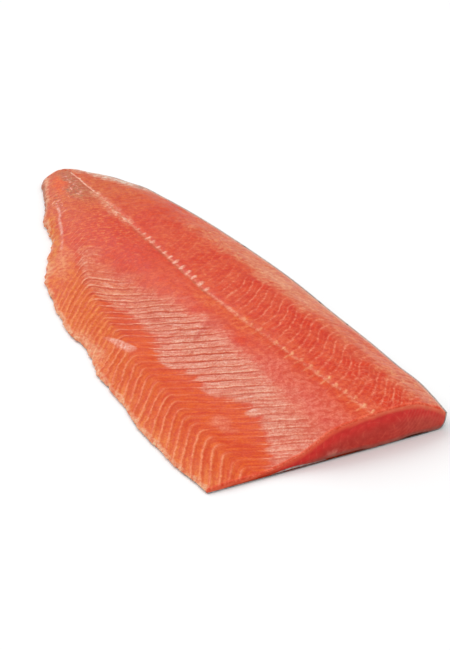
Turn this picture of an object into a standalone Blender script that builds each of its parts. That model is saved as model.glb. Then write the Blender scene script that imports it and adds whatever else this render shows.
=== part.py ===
"""A side of salmon: one boned fillet that lies skin down.

The tail end is trimmed round, and the head end is cut square across. Two solids lie one on
the other: the flesh, whose top shows its flakes as low ridges, and the skin under it, which
turns up round the back.

While the shape is worked out, s runs from the tail's tip to the cut, y from the seam of the
backbone to the back, and z up from the board. The last step moves the origin to the middle
of the fillet's underside. All sizes are in metres.
"""

import math

import bmesh
import bpy
import numpy as np

# Driving dimensions
LENGTH = 0.569
MYOMERE_PITCH = 0.0113
SKIN_THICKNESS = 0.0010
SKIN_GAP = 0.0003
FLESH_EDGE = 0.0020
SEAM_DEPTH = 0.0010
FLAKE_RELIEF = 0.0006
TIP_RADIUS = 0.014
TIP_Y = -0.007
CUT_LEAN = math.radians(1.0)

# The trimmed outline in plan, as (s, y) from the tail to just past the cut
BELLY_EDGE = (
    (0.000, -0.020),
    (0.012, -0.027),
    (0.035, -0.036),
    (0.070, -0.047),
    (0.088, -0.055),
    (0.098, -0.0605),
    (0.112, -0.0632),
    (0.136, -0.0687),
    (0.156, -0.0755),
    (0.174, -0.0857),
    (0.210, -0.1045),
    (0.220, -0.1103),
    (0.231, -0.1128),
    (0.257, -0.1155),
    (0.286, -0.119),
    (0.304, -0.123),
    (0.318, -0.1242),
    (0.334, -0.1225),
    (0.360, -0.1245),
    (0.378, -0.128),
    (0.392, -0.132),
    (0.409, -0.1308),
    (0.434, -0.1318),
    (0.479, -0.1365),
    (0.502, -0.1353),
    (0.525, -0.1346),
    (0.569, -0.1298),
    (0.680, -0.114),
)
BACK_EDGE = (
    (0.000, 0.011),
    (0.018, 0.022),
    (0.042, 0.0355),
    (0.060, 0.0412),
    (0.076, 0.0475),
    (0.110, 0.0533),
    (0.163, 0.060),
    (0.241, 0.0662),
    (0.325, 0.0697),
    (0.400, 0.0682),
    (0.457, 0.0678),
    (0.500, 0.0665),
    (0.520, 0.067),
    (0.545, 0.0642),
    (0.569, 0.060),
    (0.680, 0.038),
)

# The seam bows a little towards the belly between its ends
SEAM_LINE = (
    (0.000, 0.001),
    (0.120, -0.005),
    (0.240, -0.011),
    (0.330, -0.015),
    (0.440, -0.010),
    (0.569, 0.000),
    (0.680, 0.006),
)

# Heights above the board along the fillet: the loin's crest, and the rims at back and belly
CREST_HEIGHT = ((0.0, 0.008), (0.05, 0.0125), (0.12, 0.018), (0.22, 0.0235), (0.34, 0.027), (0.68, 0.028))
BACK_RIM_HEIGHT = ((0.0, 0.0045), (0.05, 0.007), (0.15, 0.010), (0.30, 0.012), (0.68, 0.0125))
BELLY_RIM_HEIGHT = ((0.0, 0.0040), (0.10, 0.0040), (0.30, 0.0034), (0.68, 0.0032))
BACK_ROUNDING = ((0.0, 0.004), (0.15, 0.006), (0.68, 0.0065))

# Sections of the top, as (share of the way from the seam to the edge, share of the rise from rim to crest)
BACK_SECTION = ((0.0, 0.95), (0.22, 1.0), (0.45, 0.97), (0.68, 0.79), (0.82, 0.52), (0.93, 0.27), (1.0, 0.0))
FLAP_SECTION = (
    (0.00, 0.95),
    (0.13, 0.90),
    (0.22, 0.83),
    (0.29, 0.72),
    (0.36, 0.52),
    (0.44, 0.29),
    (0.53, 0.14),
    (0.66, 0.075),
    (0.88, 0.055),
    (1.00, 0.0),
)
TAIL_SECTION = ((0.0, 0.95), (0.25, 0.95), (0.5, 0.86), (0.75, 0.62), (0.9, 0.34), (1.0, 0.0))
FLAP_BEGINS, FLAP_WHOLE = 0.130, 0.300

# How far each flake's edge leans towards the head, by its share of the way to the edge. On the
# belly it leans back to the apex of a chevron, whose share is smaller towards the tail.
BACK_LEAN = ((0.0, 0.0), (0.12, -0.0035), (0.32, -0.0148), (0.55, -0.0355), (0.77, -0.042), (1.0, -0.040))
BELLY_LEAN = (
    (0.00, 0.0),
    (0.05, 0.003),
    (0.16, 0.002),
    (0.28, -0.008),
    (0.41, -0.032),
    (0.555, -0.0515),
    (0.70, -0.063),
    (0.75, -0.061),
    (0.895, -0.036),
    (1.00, -0.017),
)
APEX = 0.70
APEX_SHARE = ((0.0, 0.45), (0.20, 0.47), (0.26, 0.53), (0.29, 0.62), (0.32, 0.67), (0.40, 0.69), (0.68, 0.72))
LEAN_WHOLE = 0.150

# How much of the flakes' relief shows, from seam to edge
BACK_RELIEF = ((0.0, 0.1), (0.15, 0.4), (0.5, 0.6), (0.8, 0.3), (1.0, 0.0))
BELLY_RELIEF = ((0.0, 0.1), (0.2, 0.4), (0.4, 1.0), (0.9, 1.0), (1.0, 0.3))

# Mesh density
BELLY_COLUMNS, BACK_COLUMNS = 13, 8
COLUMN_CROWDING = 1.15
TIP_ROWS = 4
SKIN_BELLY_COLUMNS, SKIN_FLAT_COLUMNS, SKIN_ROUNDING_COLUMNS = 3, 2, 5
ROUNDING_FROM = 0.74
PAST_THE_CUT = 0.070
CUT_SNAP = 0.0008

FLESH_COLOUR = (0.83, 0.23, 0.09, 1.0)
SKIN_COLOUR = (0.23, 0.25, 0.26, 1.0)


def curve_through(points, at):
    """The value at each place of a smooth curve through (place, value) points."""
    places, values = np.array(points).T
    slopes = np.gradient(values, places)
    at = np.clip(at, places[0], places[-1])
    left = np.clip(np.searchsorted(places, at) - 1, 0, len(places) - 2)
    step = places[left + 1] - places[left]
    t = (at - places[left]) / step
    start = values[left] * (1 + 2 * t) * (1 - t) ** 2 + slopes[left] * step * t * (1 - t) ** 2
    end = values[left + 1] * t**2 * (3 - 2 * t) + slopes[left + 1] * step * t**2 * (t - 1)
    return start + end


def ease(value, low, high):
    """0 below low, 1 above high, and a smooth S between them."""
    t = np.clip((value - low) / (high - low), 0.0, 1.0)
    return t * t * (3 - 2 * t)


def tip_roundness(s):
    """Share of the outline's width that is left near the tail's round tip."""
    return np.sqrt(1 - np.clip(1 - s / TIP_RADIUS, 0.0, 1.0) ** 2)


def edge_of(outline, s):
    """Place of the belly's or the back's edge, with the tail's tip rounded off."""
    return TIP_Y + (curve_through(outline, s) - TIP_Y) * tip_roundness(s)


def seam_at(s):
    return TIP_Y + (curve_through(SEAM_LINE, s) - TIP_Y) * tip_roundness(s)


def flake_lean(place, side):
    """How far towards the head a flake's edge leans that crosses the seam at place.

    side runs from -1 at the belly over 0 at the seam to 1 at the back.
    """
    share = np.abs(side)
    apex = curve_through(APEX_SHARE, place)
    inner = share / apex * APEX
    outer = APEX + (share - apex) / (1 - apex) * (1 - APEX)
    belly = curve_through(BELLY_LEAN, np.where(share < apex, inner, outer))
    return np.where(side > 0, curve_through(BACK_LEAN, share), belly) * ease(place, 0.0, LEAN_WHOLE)


def top_height(s, side):
    """Height of the flesh's top, without the flakes' relief."""
    share = np.abs(side)
    crest = curve_through(CREST_HEIGHT, s)
    back_rim = curve_through(BACK_RIM_HEIGHT, s) - SKIN_GAP
    belly_rim = curve_through(BELLY_RIM_HEIGHT, s)
    back = back_rim + (crest - back_rim) * curve_through(BACK_SECTION, share)
    flap = curve_through(FLAP_SECTION, share)
    tail = curve_through(TAIL_SECTION, share)
    belly_shape = tail + (flap - tail) * ease(s, FLAP_BEGINS, FLAP_WHOLE)
    belly = belly_rim + (crest - belly_rim) * belly_shape
    at_seam = ease(side, -0.02, 0.02)
    seam = SEAM_DEPTH * np.exp(-((side / 0.03) ** 2))
    return belly + (back - belly) * at_seam - seam


def top_point(s, side, middle):
    """A point of the flesh's top. middle is 1 along the middle of a flake and 0 along its edges."""
    seam = seam_at(s)
    belly = edge_of(BELLY_EDGE, s) + SKIN_GAP
    back = edge_of(BACK_EDGE, s) - SKIN_THICKNESS - SKIN_GAP
    y = seam + np.where(side > 0, side * (back - seam), -side * (belly - seam))
    relief = np.where(side > 0, curve_through(BACK_RELIEF, np.abs(side)), curve_through(BELLY_RELIEF, np.abs(side)))
    lift = FLAKE_RELIEF * relief * (middle - 0.5) * ease(s, 0.02, LEAN_WHOLE)
    return s, y, top_height(s, side) + lift


def under_point(s, side, inset, below_rim):
    """A point under the fillet, inset from the skin's outer face: flat, then up round the back to below_rim."""
    seam = seam_at(s)
    belly = edge_of(BELLY_EDGE, s) + min(inset, SKIN_GAP)
    back = edge_of(BACK_EDGE, s)
    rounding = curve_through(BACK_ROUNDING, s)
    rim = curve_through(BACK_RIM_HEIGHT, s)
    turn = np.clip((side - ROUNDING_FROM) / (1 - ROUNDING_FROM), 0.0, 1.0) * np.arccos(below_rim / (rim - inset))
    flat = seam + np.clip(side / ROUNDING_FROM, 0.0, 1.0) * (back - rounding - seam)
    y_back = flat + (rounding - inset) * np.sin(turn)
    y = np.where(side > 0, y_back, seam - side * (belly - seam))
    return s, y, rim - (rim - inset) * np.cos(turn)


def rows():
    """Places of the rows along the seam, two to a flake, and 1 for those along a flake's middle."""
    turns = np.linspace(math.radians(24), math.pi / 2, TIP_ROWS)
    tip = TIP_RADIUS * (1 - np.cos(turns))
    row_length = MYOMERE_PITCH / 2
    numbers = np.arange(math.ceil(TIP_RADIUS / row_length + 0.4), math.ceil((LENGTH + PAST_THE_CUT) / row_length))
    places = np.concatenate([tip, numbers * row_length])
    return places, np.round(places / row_length) % 2


def layered_sheet(name, sides, lower, upper):
    """A closed slab: a grid of rows and columns, extruded once, whose two layers follow lower and upper."""
    places, middles = rows()
    bm = bmesh.new()
    bmesh.ops.create_grid(bm, x_segments=len(places) - 1, y_segments=len(sides) - 1, size=1.0)
    grid = list(bm.verts)
    extruded = bmesh.ops.extrude_face_region(bm, geom=list(bm.faces))["geom"]
    raised = {v for v in extruded if isinstance(v, bmesh.types.BMVert)}
    for vert in [*grid, *raised]:
        row = round((vert.co.x + 1) / 2 * (len(places) - 1))
        side = sides[round((vert.co.y + 1) / 2 * (len(sides) - 1))]
        s = places[row] + flake_lean(places[row], side)
        follow = upper if vert in raised else lower
        vert.co = [float(value) for value in follow(s, side, middles[row])]
    bmesh.ops.recalc_face_normals(bm, faces=bm.faces)
    cut_across(bm)
    mesh = bpy.data.meshes.new(name)
    bm.to_mesh(mesh)
    bm.free()
    return bpy.data.objects.new(name, mesh)


def cut_across(bm):
    """The knife's cut at the head end: what lies past it is taken off, and the cut face closed."""
    normal = (math.cos(CUT_LEAN), 0.0, math.sin(CUT_LEAN))
    geometry = [*bm.verts, *bm.edges, *bm.faces]
    plane = {"plane_co": (LENGTH, 0, 0), "plane_no": normal}
    bmesh.ops.bisect_plane(bm, geom=geometry, dist=CUT_SNAP, use_snap_center=True, clear_outer=True, **plane)
    rim = [edge for edge in bm.edges if edge.is_boundary]
    bmesh.ops.triangle_fill(bm, edges=rim, use_beauty=True, normal=normal)
    bmesh.ops.recalc_face_normals(bm, faces=bm.faces)


def make_flesh():
    """The flesh, with its columns crowded towards the seam."""
    belly = np.linspace(1.0, 0.0, BELLY_COLUMNS + 1) ** COLUMN_CROWDING
    sides = np.concatenate([-belly, np.linspace(0.0, 1.0, BACK_COLUMNS + 1)[1:]])

    def lower(s, side, middle):
        return under_point(s, side, SKIN_THICKNESS + SKIN_GAP, FLESH_EDGE)

    return layered_sheet("flesh", sides, lower, top_point)


def make_skin():
    """The skin: an even sheet that turns up round the back, to the flesh's rim."""
    belly = np.linspace(-1.0, 0.0, SKIN_BELLY_COLUMNS + 1)
    flat = np.linspace(0.0, ROUNDING_FROM, SKIN_FLAT_COLUMNS + 1)
    rounding = np.linspace(ROUNDING_FROM, 1.0, SKIN_ROUNDING_COLUMNS + 1)
    sides = np.concatenate([belly, flat[1:], rounding[1:]])

    def lower(s, side, middle):
        return under_point(s, side, 0.0, 0.0)

    def upper(s, side, middle):
        return under_point(s, side, SKIN_THICKNESS, 0.0)

    return layered_sheet("skin", sides, lower, upper)


def material(name, colour, roughness):
    made = bpy.data.materials.new(name)
    made.use_nodes = True
    shader = made.node_tree.nodes["Principled BSDF"]
    shader.inputs["Base Color"].default_value = colour
    shader.inputs["Roughness"].default_value = roughness
    shader.inputs["Metallic"].default_value = 0.0
    return made


def stand_on_origin(objects):
    """Moves the meshes so that the origin is at the middle of the underside."""
    corners = np.array([v.co for obj in objects for v in obj.data.vertices])
    low, high = corners.min(0), corners.max(0)
    middle = (low + high) / 2
    for obj in objects:
        for vert in obj.data.vertices:
            vert.co.x -= middle[0]
            vert.co.y -= middle[1]
            vert.co.z -= low[2]


def main():
    for old in list(bpy.data.objects):
        bpy.data.objects.remove(old)
    fillet = bpy.data.collections.new("salmon_fillet")
    bpy.context.scene.collection.children.link(fillet)
    flesh, skin = make_flesh(), make_skin()
    stand_on_origin([flesh, skin])
    flesh.data.materials.append(material("flesh", FLESH_COLOUR, 0.32))
    skin.data.materials.append(material("skin", SKIN_COLOUR, 0.35))
    for obj in (flesh, skin):
        fillet.objects.link(obj)
        obj.data.shade_smooth()
        obj.data.set_sharp_from_angle(angle=math.radians(50))


main()
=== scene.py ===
"""A side of raw salmon on a pale table, lying on its skin.

While the shape is worked out, s runs from the tail's tip to the cut at the head end, y from the
seam of the backbone to the back, and z up from the table. The last step moves the points so that
the origin is at the middle of the underside. Sizes are in metres. Zones of colour are laid out
in millimetres of s and y.
"""

import math

import bpy
import numpy as np
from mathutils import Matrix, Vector


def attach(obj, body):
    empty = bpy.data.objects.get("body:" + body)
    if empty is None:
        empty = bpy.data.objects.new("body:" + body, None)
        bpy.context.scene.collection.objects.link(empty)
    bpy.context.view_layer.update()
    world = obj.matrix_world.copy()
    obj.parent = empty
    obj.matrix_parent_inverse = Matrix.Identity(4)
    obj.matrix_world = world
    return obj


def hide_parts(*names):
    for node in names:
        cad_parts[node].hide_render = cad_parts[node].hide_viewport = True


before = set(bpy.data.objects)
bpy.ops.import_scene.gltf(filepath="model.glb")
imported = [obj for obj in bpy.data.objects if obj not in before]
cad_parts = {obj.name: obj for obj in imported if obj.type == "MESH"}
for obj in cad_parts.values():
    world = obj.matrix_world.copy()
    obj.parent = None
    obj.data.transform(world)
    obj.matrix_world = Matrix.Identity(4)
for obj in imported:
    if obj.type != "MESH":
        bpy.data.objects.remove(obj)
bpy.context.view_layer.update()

MM = 1000
LATTICE = 97

# The fillet's form, as in the solids
LENGTH = 0.569
MYOMERE_PITCH = 0.0113
SKIN_THICKNESS = 0.001
SKIN_GAP = 0.0003
SKIN_TOUCH = 0.00005
FLESH_FOOT = SKIN_THICKNESS + SKIN_TOUCH
FLESH_EDGE = 0.002
SEAM_DEPTH = 0.0006
TIP_RADIUS = 0.014
TIP_Y = -0.007
CUT_LEAN = math.radians(1.0)
ORIGIN_S, ORIGIN_Y = 0.2851, -0.0334

# Outlines in millimetres of s and y, which the line after them turns to metres
BELLY_EDGE = (
    (0, -20), (12, -27), (35, -36), (70, -47), (88, -55), (98, -60.5), (112, -63.2), (136, -68.7),
    (156, -75.5), (174, -85), (198, -97.2), (212, -103.2), (224, -107.8), (238, -111.2),
    (257, -114.6), (286, -119), (304, -123), (318, -124.2), (334, -122.5), (360, -124.5),
    (378, -128), (392, -132), (409, -130.8), (434, -131.8), (479, -136.5), (502, -135.3),
    (525, -134.6), (569, -129.8), (680, -114),
)
BACK_EDGE = (
    (0, 11), (18, 22), (42, 35.5), (60, 41.2), (76, 47.5), (110, 53.3), (163, 60), (241, 66.2),
    (325, 69.7), (400, 68.2), (457, 67.8), (500, 66.5), (520, 67), (545, 64.2), (569, 60),
    (680, 38),
)
SEAM_LINE = ((0, 1), (120, -5), (240, -11), (330, -15), (440, -10), (569, 0), (680, 6))
BELLY_EDGE, BACK_EDGE, SEAM_LINE = (np.array(line) / MM for line in (BELLY_EDGE, BACK_EDGE, SEAM_LINE))
CREST_HEIGHT = ((0, 0.008), (0.05, 0.0125), (0.12, 0.018), (0.22, 0.0235), (0.34, 0.027), (0.68, 0.028))
BACK_RIM_HEIGHT = ((0, 0.0045), (0.05, 0.007), (0.15, 0.01), (0.3, 0.012), (0.68, 0.0125))
BELLY_RIM_HEIGHT = ((0, 0.004), (0.1, 0.004), (0.3, 0.0034), (0.68, 0.0032))
BACK_ROUNDING = ((0, 0.004), (0.15, 0.006), (0.68, 0.0065))
BACK_SECTION = ((0, 0.95), (0.22, 1), (0.45, 0.97), (0.68, 0.79), (0.82, 0.52), (0.93, 0.27), (1, 0))
FLAP_SECTION = (
    (0, 0.95), (0.13, 0.9), (0.22, 0.83), (0.29, 0.72), (0.36, 0.52), (0.44, 0.29),
    (0.53, 0.14), (0.66, 0.075), (0.88, 0.055), (1, 0),
)
TAIL_SECTION = ((0, 0.95), (0.25, 0.95), (0.5, 0.86), (0.75, 0.62), (0.9, 0.34), (1, 0))
FLAP_BEGINS, FLAP_WHOLE = 0.13, 0.3
BACK_LEAN = ((0, 0), (0.12, -0.0035), (0.32, -0.0148), (0.55, -0.0355), (0.77, -0.042), (1, -0.04))
BELLY_LEAN = (
    (0, 0), (0.05, 0.003), (0.16, 0.002), (0.28, -0.008), (0.41, -0.032), (0.555, -0.0515),
    (0.67, -0.0612), (0.705, -0.0634), (0.735, -0.0622), (0.8, -0.053), (0.895, -0.036),
    (1, -0.017),
)
APEX = 0.7
APEX_SHARE = ((0.0, 0.45), (0.2, 0.47), (0.26, 0.53), (0.29, 0.62), (0.32, 0.67), (0.4, 0.69), (0.68, 0.72))
LEAN_WHOLE = 0.15
ROUNDING_FROM = 0.74

# What the scene adds to the form
BELLY_ROUNDING, CUT_ROUNDING, TIP_ROUNDING = 0.0012, 0.0013, 0.003
BELLY_BULGE = 0.0006
LIFT, LIFT_Y = 0.0013, -0.064
HEM_INSET, HEM_SWAY, HEM_WAVE = 0.0007, 0.0005, 0.007
# Height in millimetres, length, width and seed of each size of lump
LUMPS = ((0.45, 21, 17, 31), (0.22, 7, 6, 32), (0.08, 2.6, 2.2, 33))

# Mesh density
BELLY_COLUMNS, BACK_COLUMNS = 88, 50
TIP_START, TIP_ROWS, ROW_STEP = 8, 16, 0.00101
CUT_ROWS = (0.0024, 0.0016, 0.001, 0.00055, 0.00025, 0.00008, 0.0)
WALL_LEVELS, ROUNDING_COLUMNS = 6, 9
CROWDING = 0.35
SKIN_TIP_ROWS, SKIN_ROW_STEP = 10, 0.0025
SKIN_BELLY_COLUMNS, SKIN_FLAT_COLUMNS, SKIN_ROUNDING_COLUMNS = 30, 14, 14

# Where the photo's features lie, in millimetres
BACK_WIDTH, BELLY_WIDTH = 72, 128
STRIPE_FADE = 6
ACROSS_LINES = (0.89, -0.455)
FAT_SHIFT = 1.8
DOT_PITCH, COMMA_PITCH = 11.3, 11.15
FLAP_SLOPE, FLAP_CURVE, FLAP_PITCH = 1.0, 0.012, 8.7
APEX_LINE = ((150, -58), (200, -74), (225, -78), (250, -81), (300, -86), (350, -93), (400, -97), (569, -98))
FILM_TOP = ((190, -58), (215, -54), (250, -49), (300, -43), (350, -34), (400, -30), (450, -30), (569, -35))
FILM_FOOT = (
    (190, -66), (230, -76), (260, -82), (300, -76), (330, -70), (360, -72), (400, -80), (430, -72),
    (460, -70), (480, -63), (530, -65), (569, -82),
)
FILM_STRENGTH = (
    (180, 0), (200, 0.74), (235, 0.48), (262, 0.7), (320, 0.82), (360, 1), (540, 1),
    (569, 0.75),
)
BAND_LINE = ((100, 34), (150, 31), (225, 28), (280, 30), (331, 33), (380, 35), (450, 34), (569, 36))
MEMBRANE_LINE = ((88, -43.5), (100, -46), (111, -49.5), (130, -56), (147, -62), (165, -68.5), (184, -77))
DOTS = (182, 194, 207, 217.5, 228, 241, 254, 265, 276.5, 289, 301, 312, 325.5, 336.5, 349)
TAN_LINE = ((0, -1), (12, 5), (50, 16), (90, 36), (120, 52))
OCHRE_LINE = ((98, -59), (112, -60), (140, -67), (165, -74), (205, -97), (222, -108))
COMMA_TAIL = ((-10, 9), (-1, -0.5), (3.5, -11), (10, -26))

# Soft patches: strength, middle, radii, turn in degrees and softness of the edge
PATCHES = {
    "deep": ((1, (205, -33), (70, 17), -4, 0.6),),
    "bruise": ((1, (392, -42), (4.5, 13), 14, 0.7),),
    "back_rim": ((0.55, (345, 50), (46, 11), 0, 0.7),),
    "tail_orange": ((1, (42, -23), (27, 6.5), -16, 0.6),),
    "speckle": ((1, (56, -15), (34, 7.5), -14, 0.5),),
    "belly_speckle": ((0.8, (84, -41), (26, 4.5), -16, 0.5),),
    "stain": ((1, (84, 42), (5, 3.5), 20, 0.6),),
    "film": ((0.48, (204, -61), (10, 7), 0, 0.6),),
    "scrap": ((1, (357, -97.5), (14, 3.9), 14, 0.4), (0.26, (500, -84), (13, 5), 0, 0.6)),
    "rim": (
        (0.8, (345, -120), (27, 6.5), 2, 0.5), (0.65, (215, -104), (30, 5), -29, 0.5),
        (0.45, (205, -84), (26, 6), -22, 0.6),
    ),
    "seam_haze": (
        (1, (94, -1.2), (10, 4), -8, 0.6), (1, (121, -2.2), (14, 5.6), -8, 0.6),
        (1, (147, -2.8), (11, 6), -8, 0.6), (1, (169, -2.4), (10, 4.6), -8, 0.6),
    ),
    "warm": ((1, (352, -9), (20, 7), 0, 0.6), (1, (402, -5), (26, 9), 0, 0.6)),
    "seam_streaks": (
        (1, (96, 0), (8, 1.3), -6, 0.6), (1, (113, -0.6), (7, 1.8), -6, 0.6),
        (1, (129, -2), (8, 2), -6, 0.6), (1, (147, -3), (8, 2.2), -6, 0.6),
        (1, (168, -2), (8, 1.6), -6, 0.6),
    ),
}

# Patches that are zones of their own and drift alike both ways
DRIFTING = ("deep", "bruise", "tail_orange", "scrap")

# The flesh's material slots, and the patterns of the finishes
TOP_SLOT, CUT_SLOT = 0, 1
RIPPLE_PITCH = 0.005
CUT_ARCS_ROUND, CUT_ARC_PITCH = (0.03, 0.012), 0.0062
CUT_STRIPES_ROUND, CUT_STRIPE_PITCH = (0.046, 0.027), 0.0027
SCALE_LENGTH, SCALE_WIDTH = 0.0034, 0.0028
CUT_PALENESS, HEM_PALENESS = 0.45, 0.8

# Floor, camera and light
FLOOR, TABLE_REACH = -0.0002, 30.0
CAMERA_AT = (1.1124, -0.5075, 0.597)
CAMERA_LOOKS_AT = (0.0695, 0.0267, 0.0)
LENS, SENSOR = 91.4, 36.0
NEAREST, FARTHEST = 0.01, 120.0
HORIZON_LIGHT, OVERHEAD_LIGHT, SOFTBOX_LIGHT = 0.34, 1.06, 1.15
LIGHT_CLIMB = (0.15, 0.85)
SOFTBOX_WIDTH = math.radians(56)
SOFTBOX_FROM = (-0.74, -0.16, 0.65)


def rgb(red, green, blue):
    return (red, green, blue, 1.0)


LOIN = rgb(0.69, 0.071, 0.019)
DEEP = rgb(0.655, 0.032, 0.004)
BAND = rgb(0.74, 0.215, 0.092)
# The film's pink-white: the membrane's own colour with a painted sheen in it
FILM = rgb(0.71, 0.198, 0.112)
DEEP_SPECK = rgb(0.8, 0.18, 0.06)
HAZE = rgb(0.71, 0.122, 0.072)
# The film's tones near the head and near the tail, with painted sheen in them too
FILM_HEAD = rgb(0.735, 0.226, 0.138)
FILM_TAIL = rgb(0.715, 0.198, 0.075)
# Painted glints of light on the film
FILM_PAINTED_GLINTS = rgb(0.86, 0.42, 0.32)
WARM = rgb(0.715, 0.096, 0.021)
STRIP = rgb(0.69, 0.07, 0.004)
FLAP_TAIL = rgb(0.725, 0.122, 0.015)
FLAP_HEAD = rgb(0.705, 0.085, 0.01)
FLAP_EDGE = rgb(0.78, 0.185, 0.04)
TAIL = rgb(0.64, 0.121, 0.029)
TAIL_BROWN = rgb(0.5, 0.122, 0.052)
TAIL_TAN = rgb(0.725, 0.425, 0.305)
TAIL_ORANGE = rgb(0.75, 0.103, 0.017)
OCHRE = rgb(0.71, 0.158, 0.026)
TAIL_RIM = rgb(0.72, 0.27, 0.15)
RIPPLE = rgb(0.8, 0.235, 0.06)
MEMBRANE = rgb(0.83, 0.37, 0.29)
FAT = rgb(0.87, 0.38, 0.26)
FAT_HEAD = rgb(0.83, 0.3, 0.135)
SEAM_SHADE = rgb(0.48, 0.095, 0.035)
SEAM_HAZE = rgb(0.82, 0.34, 0.2)
OUTLINE = rgb(0.42, 0.15, 0.085)
RIM = rgb(0.8, 0.32, 0.17)
SCRAP = rgb(0.83, 0.32, 0.225)
STAIN = rgb(0.33, 0.12, 0.07)
BRUISE = rgb(0.56, 0.045, 0.02)
LOIN_LINE = rgb(0.82, 0.225, 0.12)
# Pale line along each ridge of the film: partly fat, partly a painted highlight on its lit side
FILM_LINE = rgb(0.87, 0.368, 0.232)
# Painted shade below each ridge of the film, also the film's dark grit and faint dark lines
FILM_PAINTED_SHADE_AND_GRIT = rgb(0.48, 0.055, 0.02)
FILM_RED = rgb(0.7, 0.08, 0.03)
FLAP_LINE = rgb(0.82, 0.215, 0.095)
FLAP_LINE_TAIL = rgb(0.81, 0.2, 0.058)
# Painted shade beside the flap's pale lines
FLAP_SHADE = rgb(0.64, 0.07, 0.01)

# The cut's orange rim, partly a painted highlight along its rounded top edge
CUT_RIM = rgb(0.86, 0.11, 0.05)
CUT_RED = rgb(0.73, 0.032, 0.025)
CUT_CRIMSON = rgb(0.58, 0.045, 0.03)
CUT_ARC = rgb(0.76, 0.12, 0.075)
CUT_BELLY = rgb(0.8, 0.105, 0.045)
CUT_PALE = rgb(0.78, 0.28, 0.22)
CUT_BROWN = rgb(0.33, 0.1, 0.075)
CUT_BACK = rgb(0.56, 0.085, 0.055)
# The cut's rim towards the back, partly a painted highlight as well
CUT_RIM_BACK = rgb(0.86, 0.17, 0.08)

SKIN_BELLY = rgb(0.5, 0.51, 0.5)
SKIN_BACK = rgb(0.085, 0.1, 0.11)
SKIN_RIM = rgb(0.6, 0.46, 0.4)
SKIN_CLOUD = rgb(0.22, 0.24, 0.25)
SKIN_SPOT = rgb(0.025, 0.027, 0.03)
SCALE_GAP = rgb(0.05, 0.055, 0.06)

# Pairs of a dark and a light tint
CLOUD_TINTS = (rgb(0.91, 0.66, 0.58), rgb(1.05, 1.36, 1.48))
GRAIN_TINTS = (rgb(0.93, 0.74, 0.68), rgb(1.05, 1.26, 1.34))
CUT_TINTS = (rgb(0.9, 0.76, 0.76), rgb(1.06, 1.22, 1.2))
SCALE_TINTS = (rgb(0.82, 0.82, 0.82), rgb(1.15, 1.15, 1.15))
TABLE_TONES = (rgb(0.93, 0.93, 0.93), rgb(0.94, 0.94, 0.94))

MOIST_FLESH = {
    "Subsurface_Weight": 0.1,
    "Subsurface_Radius": (1.0, 0.35, 0.2),
    "Subsurface_Scale": 0.0025,
    "IOR": 1.38,
    "Specular_IOR_Level": 0.22,
}


def curve_through(points, at):
    """The value at each place of a smooth curve through (place, value) points."""
    places, values = np.array(points, float).T
    slopes = np.gradient(values, places)
    at = np.clip(at, places[0], places[-1])
    left = np.clip(np.searchsorted(places, at) - 1, 0, len(places) - 2)
    step = places[left + 1] - places[left]
    t = (at - places[left]) / step
    start = values[left] * (1 + 2 * t) * (1 - t) ** 2 + slopes[left] * step * t * (1 - t) ** 2
    end = values[left + 1] * t**2 * (3 - 2 * t) + slopes[left + 1] * step * t**2 * (t - 1)
    return start + end


def ease(value, low, high):
    """0 below low, 1 above high, and a smooth S between them."""
    t = np.clip((value - low) / (high - low), 0.0, 1.0)
    return t * t * (3 - 2 * t)


def wander(u, v, seed):
    """Smooth noise between -1 and 1 over a plane, about one wave to two units."""
    lattice = np.random.default_rng(seed).uniform(-1, 1, (LATTICE, LATTICE))
    u, v = np.asarray(u, float), np.asarray(v, float)
    left, low = np.floor(u).astype(int), np.floor(v).astype(int)
    across, up = ease(u - left, 0, 1), ease(v - low, 0, 1)

    def corner(right, top):
        return lattice[(left + right) % LATTICE, (low + top) % LATTICE]

    foot = corner(0, 0) * (1 - across) + corner(1, 0) * across
    head = corner(0, 1) * (1 - across) + corner(1, 1) * across
    return foot * (1 - up) + head * up


def tip_roundness(s):
    """Share of the outline's width that is left near the tail's round tip."""
    return np.sqrt(1 - np.clip(1 - s / TIP_RADIUS, 0.0, 1.0) ** 2)


def edge_of(outline, s):
    """Place of the belly's or the back's edge, with the tail's tip rounded off."""
    return TIP_Y + (curve_through(outline, s) - TIP_Y) * tip_roundness(s)


def seam_at(s):
    return TIP_Y + (curve_through(SEAM_LINE, s) - TIP_Y) * tip_roundness(s)


def flake_lean(place, side):
    """How far towards the head a flake's edge leans that crosses the seam at place."""
    share = np.abs(side)
    apex = curve_through(APEX_SHARE, place)
    inner = share / apex * APEX
    outer = APEX + (share - apex) / (1 - apex) * (1 - APEX)
    belly = curve_through(BELLY_LEAN, np.where(share < apex, inner, outer))
    return np.where(side > 0, curve_through(BACK_LEAN, share), belly) * ease(place, 0.0, LEAN_WHOLE)


def flake_places(s, sides):
    """For every point, the place on the seam where its flake crosses it."""
    places = np.linspace(0.0, 0.66, 1321)
    found = [np.interp(s[:, k], places + flake_lean(places, side), places) for k, side in enumerate(sides)]
    return np.stack(found, 1)


def flap_phase(s, y):
    """Counts the belly flap's close lines, which steepen from the chevrons' apex to the edge."""
    s, out = s * MM, curve_through(APEX_LINE, s * MM) - y * MM
    return (s - FLAP_SLOPE * out - FLAP_CURVE * out * np.abs(out)) / FLAP_PITCH


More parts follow.
